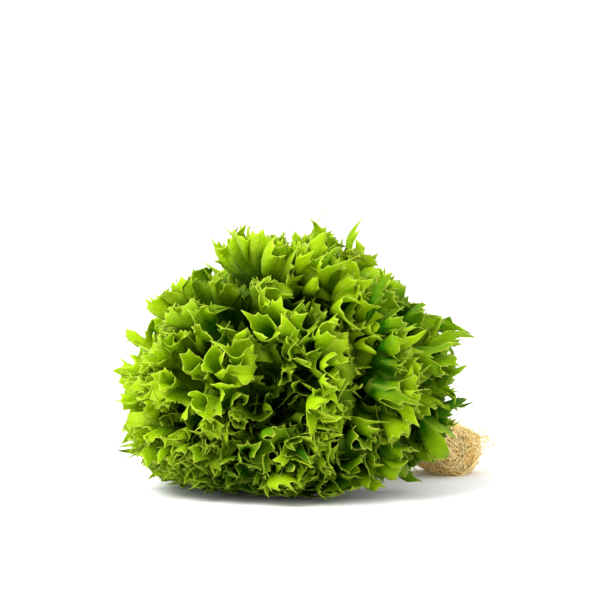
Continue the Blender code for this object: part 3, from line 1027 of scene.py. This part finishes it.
@dataclass
class RootWad:
    """The matted roots: a ridged wad, flattened on the surface, under hundreds of strands."""

    rosette: Rosette
    # The core's finish is a darker copy of the strands' finish, painted shade for the hollows between
    # them.
    core_finish: bpy.types.Material
    strand_finish: bpy.types.Material
    wad_back: float = 0.098
    half_width: float = 0.030
    half_length: float = 0.028
    height: float = 0.036
    gap: float = 0.0003
    sink: float = 0.003
    landing: float = 0.68
    relief: float = 0.10
    stem_meeting: float = 1 / 3
    profile_shares: tuple[float, ...] = (0.00, 0.18, 0.36, 0.52, 0.68, 0.82, 0.93, 1.00)
    profile_sizes: tuple[float, ...] = (0.40, 0.50, 0.74, 0.93, 1.00, 0.92, 0.64, 0.00)
    bumps: tuple[tuple[float, float, float], ...] = ((3, 7, 0), (5, -11, 2))
    core_inset: float = 0.0040
    core_sides: int = 96
    core_rings: int = 60
    core_reach: float = 0.985
    core_twist: tuple[float, float] = (1.1, 2)
    core_fibres: tuple[float, float] = (34, 21)
    fibre_sway: tuple[float, float] = (3, 9)
    fibre_slant: float = 26
    fibre_depth: float = 0.0005
    strand_sides: int = 3
    strand_rings: int = 22
    strand_radius: Span = (0.00035, 0.00075)
    strand_end: float = 0.45
    strand_rates: Span = (2, 9)
    strand_waves: int = 3
    strand_roll: tuple[float, float, float] = (0.13, 0.21, 0.97)
    counts: tuple[tuple[StrandKind, int], ...] = (
        (StrandKind.NECK, 150),
        (StrandKind.WRAP, 320),
        (StrandKind.TANGLE, 320),
        (StrandKind.WISP, 46),
    )
    turn_spread: Span = (-0.2, 0.2)
    top_lift: float = 0.0006
    deepest: float = 0.0034
    hop_height: float = 0.0013
    hop_pace: float = 2
    end_tuck: float = 0.0012
    tuck_growth: int = 8
    neck_starts: Span = (-0.02, 0.35)
    neck_spans: Span = (0.25, 0.5)
    neck_turns: tuple[float, float] = (0.35, 0.5)
    wrap_middles: Span = (0.35, 0.95)
    wrap_sway: float = 0.10
    wrap_slants: Span = (-0.2, 0.2)
    wrap_limits: Span = (0.2, 0.985)
    wrap_turns: Span = (0.8, 2.6)
    wrap_roam: float = 0.2
    tangle_middles: Span = (0.42, 0.97)
    tangle_sway: float = 0.13
    tangle_limits: Span = (0.25, 0.99)
    tangle_pace: float = 0.8
    tangle_roam: float = 0.7
    tangle_lift: float = 0.0004
    wisp_sway: float = 0.25
    wisp_starts: Span = (0.70, 0.92)
    wisp_exit: float = 0.97
    wisp_depth: float = 0.001
    wisp_lengths: Span = (0.004, 0.015)
    wisp_onward: float = 0.9
    wisp_rises: Span = (-0.2, 0.5)
    wisp_growth: float = 1.6
    wisp_curl: tuple[float, float] = (0.0022, 1.4)
    seed: int = 547

    def spot(self, share: Points, turn: Points, lift: Points) -> Points:
        """A point on the wad's uneven surface.

        Args:
            share: the way from the stem to the wad's far end.
            turn: the angle round it.
            lift: the height above its surface.

        Returns:
            The points in the plant's frame.
        """
        rules = self.rosette
        stem_end = rules.crown - (rules.stem_length + self.gap) * rules.axis
        middle = np.array((rules.crown[0], rules.crown[1] + self.wad_back, self.height / 2))
        reach = middle[1] + self.half_length - stem_end[1]
        drop = (1 - np.cos(math.pi * np.minimum(share / self.landing, 1))) / 2
        size = np.interp(share, self.profile_shares, self.profile_sizes)
        bumps = sum(np.sin(a * turn + b * share + start) for a, b, start in self.bumps)
        size = size * (1 + self.relief * bumps * np.sin(math.pi * np.clip(share, 0, 1)))
        wide = size * self.half_width + lift
        rise = (size * (self.height / 2 + self.sink) + lift) * np.sin(turn)
        square = np.maximum(1 - share / self.stem_meeting, 0) * math.sin(rules.axis_rise)
        x = middle[0] + wide * np.cos(turn)
        y = stem_end[1] + reach * share + square * rise
        return np.stack([x, y, between(stem_end[2], middle[2], drop) + rise], -1)

    def build(self) -> None:
        """Builds the wad and one bundle of strands for each way that they run."""
        self.build_core()
        strand = self.model_strand()
        for kind, count in self.counts:
            self.build_bundle(strand, kind, count)
        bpy.data.objects.remove(strand)

    def build_core(self) -> None:
        """Models the wad from a cylinder cut into rings, whose far end is drawn together."""
        core = ringed_cylinder("root_wad", self.core_sides, 1, 1, self.core_rings, "TRIFAN")
        points = coordinates(core.data)
        share = (points[:, 2] + 0.5) * self.core_reach
        turn = np.arctan2(points[:, 1], points[:, 0])
        twist, twist_rate = self.core_twist
        twisted = turn + twist * np.sin(twist_rate * share)
        straight, slanted = self.core_fibres
        sway, sway_rate = self.fibre_sway
        fibres = np.sin(straight * turn + sway * np.sin(sway_rate * share))
        fibres = fibres + np.sin(slanted * turn - self.fibre_slant * share)
        lift = self.fibre_depth * fibres - self.core_inset
        on_axis = np.hypot(points[:, 0], points[:, 1]) < 0.5
        skin = self.spot(share, twisted, lift)
        middle = (self.spot(share, 0 * turn, lift) + self.spot(share, 0 * turn + math.pi, lift)) / 2
        skin = np.where(on_axis[:, None], middle, skin)
        skin[:, 2] = np.maximum(skin[:, 2], 0.0)
        place(core.data, skin)
        self.close(core, self.core_finish)

    def close(self, piece: bpy.types.Object, finish: bpy.types.Material) -> None:
        """Turns a piece's faces outwards, smooths it, gives it its finish and hands it over."""
        piece.data.materials.append(finish)
        edit_whole(piece, bpy.ops.mesh.normals_make_consistent, inside=False)
        bpy.ops.object.shade_smooth()
        hand_over(piece, Node.ROOT_BALL, Slot.ROOT)

    def model_strand(self) -> bpy.types.Object:
        """Models the straight strand that all strands are copied from, 1 long."""
        cuts = self.strand_rings - 2
        strand = ringed_cylinder("strand", self.strand_sides, 1, 1, cuts, "NGON")
        edit_whole(strand, bpy.ops.mesh.quads_convert_to_tris)
        return strand

    def path(self, kind: StrandKind, order: float, rng: random.Random) -> tuple[Points, float]:
        """Draws one strand's run.

        Args:
            kind: the way that it runs.
            order: its share of the way through its bundle.
            rng: the seeded source of its course.

        Returns:
            Its points, and its depth in the wad from 0 at the top to 1.
        """
        steps = np.linspace(0, 1, self.strand_rings)
        depth = rng.random()
        sway, roam, hop = (waver(rng, self.strand_rates, self.strand_waves) for _ in range(3))
        turn = 2 * math.pi * order + rng.uniform(*self.turn_spread)
        lift = self.top_lift - self.deepest * depth
        lift = lift + self.hop_height * hop(self.hop_pace * steps)
        lift = lift - self.end_tuck * (2 * steps - 1) ** self.tuck_growth
        if kind is StrandKind.NECK:
            start = rng.uniform(*self.neck_starts)
            shares = start + rng.uniform(*self.neck_spans) * steps
            swing, twist = self.neck_turns
            points = self.spot(shares, turn + swing * sway(steps) + twist * steps, lift)
        elif kind is StrandKind.WRAP:
            shares = rng.uniform(*self.wrap_middles) + self.wrap_sway * sway(steps)
            shares = shares + rng.uniform(*self.wrap_slants) * steps
            turns = turn + rng.choice((-1, 1)) * rng.uniform(*self.wrap_turns) * steps
            turns = turns + self.wrap_roam * roam(steps)
            points = self.spot(np.clip(shares, *self.wrap_limits), turns, lift)
        elif kind is StrandKind.TANGLE:
            paced = self.tangle_pace * steps
            shares = rng.uniform(*self.tangle_middles) + self.tangle_sway * sway(paced)
            shares = np.clip(shares, *self.tangle_limits)
            points = self.spot(shares, turn + self.tangle_roam * roam(paced), lift + self.tangle_lift)
        else:
            points = self.wisp(turn, steps, sway, rng)
        points[:, 2] = np.maximum(points[:, 2], self.strand_radius[1])
        return points, depth

    def wisp(self, turn: float, steps: Points, sway: Wave, rng: random.Random) -> Points:
        """Draws a thin root that leaves the far end of the wad, swaying as it goes.

        Args:
            turn: twice its angle round the wad.
            steps: the shares of its length at which its points lie.
            sway: the function that it sways by.
            rng: the seeded source of its course.

        Returns:
            Its points.
        """
        turns = turn / 2 + self.wisp_sway * sway(steps)
        shares = between(rng.uniform(*self.wisp_starts), self.wisp_exit, steps)
        points = self.spot(shares, turns, 0 * steps - self.wisp_depth)
        length = rng.uniform(*self.wisp_lengths)
        way = np.array((math.cos(turn / 2), self.wisp_onward, rng.uniform(*self.wisp_rises)))
        points = points + length * (steps**self.wisp_growth)[:, None] * way
        height, rate = self.wisp_curl
        points[:, 2] += height * sway(rate * steps + 1) * steps
        return points

    def build_bundle(self, strand: bpy.types.Object, kind: StrandKind, count: int) -> None:
        """Lays copies of the straight strand along their runs, as one piece.

        Args:
            strand: the straight strand.
            kind: the way that they run.
            count: how many there are.
        """
        pattern = coordinates(strand.data)
        rows = np.rint((pattern[:, 2] + 0.5) * (self.strand_rings - 1)).astype(int)
        faces = np.array([face.vertices[:] for face in strand.data.polygons])
        all_points, all_faces, all_depths = [], [], []
        rng = random.Random(f"{self.seed} {kind.value}")
        for number in range(count):
            run, depth = self.path(kind, number / count, rng)
            ways = unit(np.gradient(run, axis=0))
            beside = unit(np.cross(ways, self.strand_roll))
            upwards = np.cross(beside, ways)
            radius = rng.uniform(*self.strand_radius)
            taper = np.linspace(0, 1, self.strand_rings)
            taper = between(1.0, self.strand_end, taper)[rows, None]
            flat = pattern[:, :1] * beside[rows] + pattern[:, 1:2] * upwards[rows]
            all_points.append(run[rows] + radius * taper * flat)
            all_faces.append(faces + number * len(pattern))
            all_depths.append(np.full(len(pattern), depth))
        data = bpy.data.meshes.new(f"roots_{kind.value}")
        data.from_pydata(np.concatenate(all_points), [], np.concatenate(all_faces).tolist())
        # The strands' depth drives the painted shade of their finish.
        keep_number(data, "depth", np.concatenate(all_depths))
        bundle = bpy.data.objects.new(data.name, data)
        bpy.context.collection.objects.link(bundle)
        self.close(bundle, self.strand_finish)


class Socket:
    """A node's output that can be used in arithmetic, which adds Math nodes."""

    def __init__(self, recipe: "Recipe", link: bpy.types.NodeSocket) -> None:
        """Wraps an output socket of a recipe's tree."""
        self.recipe = recipe
        self.link = link

    def math(self, operation: str, *values: Any, clamp: bool = False) -> "Socket":
        """Adds one Math node.

        Args:
            operation: the node's operation.
            values: its inputs, as numbers or sockets.
            clamp: whether its result is held between 0 and 1.

        Returns:
            The node's result.
        """
        settings = {"operation": operation, "use_clamp": clamp}
        return self.recipe.node("ShaderNodeMath", settings, dict(enumerate(values)))

    def __add__(self, other: Any) -> "Socket":
        """self + other."""
        return self.math("ADD", self, other)

    __radd__ = __add__

    def __sub__(self, other: Any) -> "Socket":
        """self - other."""
        return self.math("SUBTRACT", self, other)

    def __rsub__(self, other: Any) -> "Socket":
        """other - self."""
        return self.math("SUBTRACT", other, self)

    def __mul__(self, other: Any) -> "Socket":
        """self * other."""
        return self.math("MULTIPLY", self, other)

    __rmul__ = __mul__

    def __truediv__(self, other: Any) -> "Socket":
        """self / other."""
        return self.math("DIVIDE", self, other)

    def __rtruediv__(self, other: Any) -> "Socket":
        """other / self."""
        return self.math("DIVIDE", other, self)

    def smooth(self, low: float, high: float) -> "Socket":
        """Rises smoothly from 0 at low to 1 at high, or falls if low is above high."""
        settings = {"interpolation_type": "SMOOTHSTEP"}
        ends = {"From Min": min(low, high), "From Max": max(low, high)}
        risen = self.recipe.node("ShaderNodeMapRange", settings, {"Value": self, **ends})
        return risen if low < high else 1 - risen

    def ripple(self, half_period: float) -> "Socket":
        """A triangle wave from 0 at each whole period to half_period between them."""
        return self.math("PINGPONG", self, half_period)

    def clamped(self) -> "Socket":
        """self, held between 0 and 1."""
        return self.math("ADD", self, 0.0, clamp=True)


class Recipe:
    """A material's node tree, written as a list of steps."""

    def __init__(self, name: str) -> None:
        """Starts an empty material."""
        self.material = bpy.data.materials.new(name)
        self.material.use_nodes = True
        self.tree = self.material.node_tree
        self.tree.nodes.clear()

    def node(self, kind: str, settings: dict[str, Any], inputs: dict[Any, Any]) -> Socket:
        """Adds a node.

        Args:
            kind: the node's type.
            settings: its properties, set first.
            inputs: values or sockets for its inputs, by name or place.

        Returns:
            Its first enabled output.
        """
        made = self.tree.nodes.new(kind)
        for name, value in settings.items():
            setattr(made, name, value)
        for key, value in inputs.items():
            if isinstance(value, Socket):
                self.tree.links.new(value.link, made.inputs[key])
            else:
                made.inputs[key].default_value = value
        return Socket(self, next(socket for socket in made.outputs if socket.enabled))

    def output(self, socket: Socket, name: str) -> Socket:
        """Another output of the node that a socket belongs to."""
        return Socket(self, socket.link.node.outputs[name])

    def position(self) -> Socket:
        """The object coordinates of the surface."""
        return self.output(self.node("ShaderNodeTexCoord", {}, {}), "Object")

    def noise(self, place_in: Socket, scale: float, detail: float = 3.0) -> Socket:
        """Cloudy noise between 0 and 1."""
        inputs = {"Vector": place_in, "Scale": scale, "Detail": detail}
        return self.node("ShaderNodeTexNoise", {}, inputs)

    def attribute(self, name: str) -> Socket:
        """A number that the mesh keeps at each of its points."""
        made = self.node("ShaderNodeAttribute", {"attribute_name": name}, {})
        return self.output(made, "Fac")

    def mix(self, share: Any, first: Any, second: Any) -> Socket:
        """Mixes two colours.

        Args:
            share: how much of the second colour shows.
            first: a colour or a socket.
            second: a colour or a socket.

        Returns:
            The mixed colour.
        """
        first, second = (v if isinstance(v, Socket) else (*v, 1.0) for v in (first, second))
        inputs = {0: share, 6: first, 7: second}
        return self.node("ShaderNodeMix", {"data_type": "RGBA"}, inputs)

    def bump(self, height: Socket, distance: float, strength: float) -> Socket:
        """Turns a height into a normal."""
        inputs = {"Height": height, "Distance": distance, "Strength": strength}
        return self.node("ShaderNodeBump", {}, inputs)

    def surface(self, colour: Any, roughness: Any, others: dict[str, Any]) -> Socket:
        """A Principled surface, with its other inputs by name."""
        inputs = {"Base Color": colour, "Roughness": roughness, **others}
        return self.node("ShaderNodeBsdfPrincipled", {}, inputs)

    def finish(self, shader: Socket) -> bpy.types.Material:
        """Sends a shader to the output and returns the material."""
        output = self.tree.nodes.new("ShaderNodeOutputMaterial")
        self.tree.links.new(shader.link, output.inputs["Surface"])
        return self.material


@dataclass(frozen=True)
class LeafFinish:
    """Fresh light green leaf, satin, paler along its veins, its rib and its frilled margin, and
    darkened with painted shade where it lies deep in the head, in its folds and under it.
    """

    # inside is the painted shade colour for what lies deep in the head, in folds and under it.
    inside: Colour = (0.009, 0.040, 0.0003)
    deep: Colour = (0.009, 0.072, 0.0003)
    middle: Colour = (0.043, 0.255, 0.0008)
    light: Colour = (0.345, 0.545, 0.003)
    margin: Colour = (0.680, 0.780, 0.080)
    rib: Colour = (0.500, 0.600, 0.160)
    glow: Colour = (0.178, 0.485, 0.002)
    shine: Colour = (0.75, 1.0, 0.12)
    shine_level: float = 0.28
    glow_share: float = 0.30
    smoothest: float = 0.44
    rough_spread: float = 0.16
    patch_scale: float = 30.0
    mottle_scale: float = 170.0
    mottle_shift: float = 0.25
    blister_scale: float = 300.0
    grain_scale: float = 900.0
    main_veins: float = 22
    fine_veins: float = 64
    main_start: float = 0.03
    fine_start: float = 0.35
    fine_strength: float = 0.6
    vein_scale: float = 26.0
    vein_wander: float = 1.2
    vein_width: float = 0.16
    vein_fade: float = 0.12
    vein_share: float = 0.22
    rib_edge: Span = (0.10, 0.02)
    rib_strength: float = 0.8
    base_edge: Span = (0.72, 1.0)
    rib_share: float = 0.85
    pale_edge: Span = (0.45, 1.0)
    pale_rise: float = 0.80
    pale_tone: float = 0.95
    pale_shift: float = 0.50
    pale_patches: float = 1.2
    line_edge: Span = (0.972, 1.0)
    line_share: float = 0.62
    # Where and how strongly the painted shade darkens the leaf.
    painted_shade_edge: Span = (0.09, 0.42)
    painted_shade_share: float = 0.90
    blade_relief: float = 0.5
    grain_relief: float = 0.10
    vein_relief: float = 0.30
    relief_height: float = 0.0022
    relief_strength: float = 0.7

    def veins(
        self, recipe: Recipe, along: Socket, out: Socket, count: float, start: float
    ) -> Socket:
        """Veins that run from the midrib to the margin, of the same real width all the way.

        Args:
            recipe: the material's recipe.
            along: the place round the margin.
            out: the share of the way out.
            count: how many there are round the margin.
            start: the share of the way out at which they begin.

        Returns:
            1 in the middle of a vein, 0 between them.
        """
        wander = recipe.noise(recipe.position(), self.vein_scale, detail=2.0) - 0.5
        away = (along * count + wander * self.vein_wander).ripple(0.5) * 2
        away = away * (out + self.vein_fade)
        fade = out.smooth(start, start + self.vein_fade)
        return (1 - away / self.vein_width).clamped() * fade

    def material(self) -> bpy.types.Material:
        """Writes the material."""
        recipe = Recipe("leaf_green")
        flat = recipe.node("ShaderNodeUVMap", {"uv_map": "leaf"}, {})
        along = recipe.node("ShaderNodeSeparateXYZ", {}, {"Vector": flat})
        out = recipe.output(along, "Y")
        where = recipe.position()
        patches = recipe.noise(where, self.patch_scale)
        mottle = recipe.noise(where, self.mottle_scale)
        blisters = recipe.noise(where, self.blister_scale, detail=1.0)
        grain = recipe.noise(where, self.grain_scale, detail=2.0)
        main = self.veins(recipe, along, out, self.main_veins, self.main_start)
        fine = self.veins(recipe, along, out, self.fine_veins, self.fine_start)
        veins = (main + fine * self.fine_strength).clamped()
        half = (along - 0.5) * 2
        base = half.math("ABSOLUTE", half).smooth(*self.base_edge)
        rib = out.smooth(*self.rib_edge) * self.rib_strength
        paling = out.smooth(*self.pale_edge) * self.pale_rise
        paling = paling + recipe.attribute("tone") * self.pale_tone - self.pale_shift
        paling = (paling + (patches - 0.5) * self.pale_patches).clamped()
        line = out.smooth(*self.line_edge)
        # Painted shade: the leaf turns near black where it lies deep in the head, in its folds and
        # under the plant.
        painted_shade_mask = recipe.attribute("depth").smooth(*self.painted_shade_edge)
        colour = recipe.mix((mottle - self.mottle_shift).clamped(), self.deep, self.middle)
        colour = recipe.mix(paling, colour, self.light)
        colour = recipe.mix(line * self.line_share, colour, self.margin)
        colour = recipe.mix(veins * self.vein_share, colour, self.margin)
        colour = recipe.mix((rib + base).clamped() * self.rib_share, colour, self.rib)
        colour = recipe.mix(painted_shade_mask * self.painted_shade_share, colour, self.inside)
        height = mottle * self.blade_relief + blisters * self.blade_relief
        height = height + grain * self.grain_relief - veins * self.vein_relief
        others = {
            "Specular IOR Level": self.shine_level,
            "Specular Tint": (*self.shine, 1.0),
            "Normal": recipe.bump(height, self.relief_height, self.relief_strength),
        }
        shader = recipe.surface(colour, self.smoothest + grain * self.rough_spread, others)
        through = recipe.node("ShaderNodeBsdfTranslucent", {}, {"Color": (*self.glow, 1.0)})
        both = {0: self.glow_share, 1: shader, 2: through}
        return recipe.finish(recipe.node("ShaderNodeMixShader", {}, both))


@dataclass(frozen=True)
class StemFinish:
    """A pale cream-green stump with brown scars and fine fibres along it."""

    cream: Colour = (0.640, 0.620, 0.300)
    green: Colour = (0.420, 0.520, 0.130)
    scar: Colour = (0.300, 0.170, 0.060)
    stretch: tuple[float, float, float] = (1.0, 0.12, 0.4)
    fibre_scale: float = 900.0
    patch_scale: float = 120.0
    spot_scale: float = 420.0
    spot_edge: Span = (0.60, 0.72)
    fibre_share: float = 0.5
    spot_share: float = 0.55
    smoothest: float = 0.45
    rough_spread: float = 0.2
    relief_height: float = 0.0006
    relief_strength: float = 0.6

    def material(self) -> bpy.types.Material:
        """Writes the material."""
        recipe = Recipe("stem_pale")
        where = recipe.position()
        stretched = {"Vector": where, "Scale": self.stretch}
        stretched = recipe.node("ShaderNodeMapping", {}, stretched)
        fibres = recipe.noise(stretched, self.fibre_scale)
        patches = recipe.noise(where, self.patch_scale)
        spots = recipe.noise(where, self.spot_scale, detail=2.0).smooth(*self.spot_edge)
        colour = recipe.mix(patches, self.cream, self.green)
        colour = recipe.mix(fibres * self.fibre_share, colour, self.cream)
        colour = recipe.mix(spots * self.spot_share, colour, self.scar)
        normal = recipe.bump(fibres + patches, self.relief_height, self.relief_strength)
        rough = self.smoothest + fibres * self.rough_spread
        return recipe.finish(recipe.surface(colour, rough, {"Normal": normal}))


@dataclass(frozen=True)
class RootFinish:
    """Dry root fibre, straw, with random brown patches and painted shade that turns the deeper
    strands and the wad's hollows brown.
    """

    name: str
    pale: Colour
    straw: Colour
    brown: Colour
    brown_share: float
    patch_scale: float = 90.0
    patch_edge: Span = (0.35, 0.65)
    fleck_scale: float = 700.0
    fleck_edge: Span = (0.5, 0.8)
    fleck_share: float = 0.4
    depth_shade: float = 0.9
    patch_shade: float = 0.3
    shade_shift: float = 0.25
    smoothest: float = 0.70
    rough_spread: float = 0.2
    relief_height: float = 0.0004
    relief_strength: float = 0.6

    def material(self) -> bpy.types.Material:
        """Writes the material."""
        recipe = Recipe(self.name)
        where = recipe.position()
        patches = recipe.noise(where, self.patch_scale)
        flecks = recipe.noise(where, self.fleck_scale, detail=2.0)
        colour = recipe.mix(patches.smooth(*self.patch_edge), self.straw, self.pale)
        # Painted shade: strands deeper in the wad are mixed towards brown, and random patches add
        # real brown.
        shade = recipe.attribute("depth") * self.depth_shade + patches * self.patch_shade
        shade = (shade - self.shade_shift + self.brown_share).clamped()
        colour = recipe.mix(shade, colour, self.brown)
        colour = recipe.mix(flecks.smooth(*self.fleck_edge) * self.fleck_share, colour, self.straw)
        normal = recipe.bump(flecks, self.relief_height, self.relief_strength)
        rough = self.smoothest + flecks * self.rough_spread
        return recipe.finish(recipe.surface(colour, rough, {"Normal": normal}))


@dataclass(frozen=True)
class FloorFinish:
    """A plain white surface with the faintest grain."""

    white: Colour = (0.96, 0.96, 0.96)
    shade: Colour = (0.94, 0.94, 0.94)
    grain_scale: float = 40.0
    roughness: float = 0.9

    def material(self) -> bpy.types.Material:
        """Writes the material."""
        recipe = Recipe("floor_white")
        grain = recipe.noise(recipe.position(), self.grain_scale, detail=2.0)
        colour = recipe.mix(grain, self.white, self.shade)
        dull = {"Specular IOR Level": 0.0}
        return recipe.finish(recipe.surface(colour, self.roughness, dull))


@dataclass(frozen=True)
class Studio:
    """The white floor, the soft lights and the camera at the photograph's angle."""

    azimuth: float = math.radians(55)
    elevation: float = math.radians(4)
    distance: float = 2.2
    lens: float = 173.0
    aim: tuple[float, float, float] = (-0.022, -0.003, 0.140)
    floor_size: float = 12.0
    sky: float = 1.36
    key_size: float = 1.1
    key_power: float = 36.0
    key_distance: float = 1.6
    key_right: float = -0.75
    key_up: float = 1.15
    key_near: float = 0.55

    def build(self) -> None:
        """Sets the whole studio up."""
        self.lay_floor()
        self.light()
        self.aim_camera()

    def lay_floor(self) -> None:
        """Lays the floor at the height that the plant lies on."""
        deselect_all()
        bpy.ops.mesh.primitive_plane_add(size=self.floor_size)
        floor = bpy.context.object
        floor.name = "floor"
        floor.data.materials.append(FloorFinish().material())

    def toward_camera(self) -> Vector:
        """The direction from the plant to the camera."""
        flat = math.cos(self.elevation)
        x, y = math.sin(self.azimuth) * flat, -math.cos(self.azimuth) * flat
        return Vector((x, y, math.sin(self.elevation)))

    def light(self) -> None:
        """A white room, and a large soft light from the upper left of the camera."""
        world = bpy.data.worlds.new("white_room")
        bpy.context.scene.world = world
        world.use_nodes = True
        background = world.node_tree.nodes["Background"]
        background.inputs["Color"].default_value = (1.0, 1.0, 1.0, 1.0)
        background.inputs["Strength"].default_value = self.sky
        right = Vector((math.cos(self.azimuth), math.sin(self.azimuth), 0.0))
        way = self.key_right * right + Vector((0.0, 0.0, self.key_up))
        way = (way + self.key_near * self.toward_camera()).normalized()
        spot = Vector(self.aim) + self.key_distance * way
        bpy.ops.object.light_add(type="AREA", location=spot)
        key = bpy.context.object
        key.name = "key_light"
        key.data.size = self.key_size
        key.data.energy = self.key_power
        key.rotation_euler = way.to_track_quat("Z", "Y").to_euler()

    def aim_camera(self) -> None:
        """Points the camera at the plant from the photograph's angle."""
        way = self.toward_camera()
        turn = way.to_track_quat("Z", "Y").to_euler()
        bpy.ops.object.camera_add(location=Vector(self.aim) + self.distance * way, rotation=turn)
        camera = bpy.context.object
        camera.name = "camera"
        camera.data.lens = self.lens
        bpy.context.scene.camera = camera
        bpy.context.scene.view_settings.view_transform = "Standard"


def write_sizes() -> None:
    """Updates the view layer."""
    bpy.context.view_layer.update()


def main() -> None:
    """Builds the plant and the studio."""
    logging.basicConfig(level=logging.INFO, format="%(name)s: %(message)s")
    rosette = Rosette()
    LeafHead(rosette, LeafFinish().material()).build()
    Stem(rosette, StemFinish().material()).build()
    strands = RootFinish(
        name="root_straw",
        pale=(1.0, 0.85, 0.44),
        straw=(1.0, 0.72, 0.25),
        brown=(0.60, 0.34, 0.07),
        brown_share=-0.25,
    )
    # The wad under the strands gets a darker copy of the root finish: painted shade for the hollows
    # between the strands.
    core = RootFinish(
        name="root_painted_shade",
        pale=(0.62, 0.38, 0.10),
        straw=(0.50, 0.28, 0.06),
        brown=(0.26, 0.12, 0.02),
        brown_share=0.3,
    )
    RootWad(rosette, core.material(), strands.material()).build()
    Studio().build()
    write_sizes()


if __name__ == "__main__":
    main()
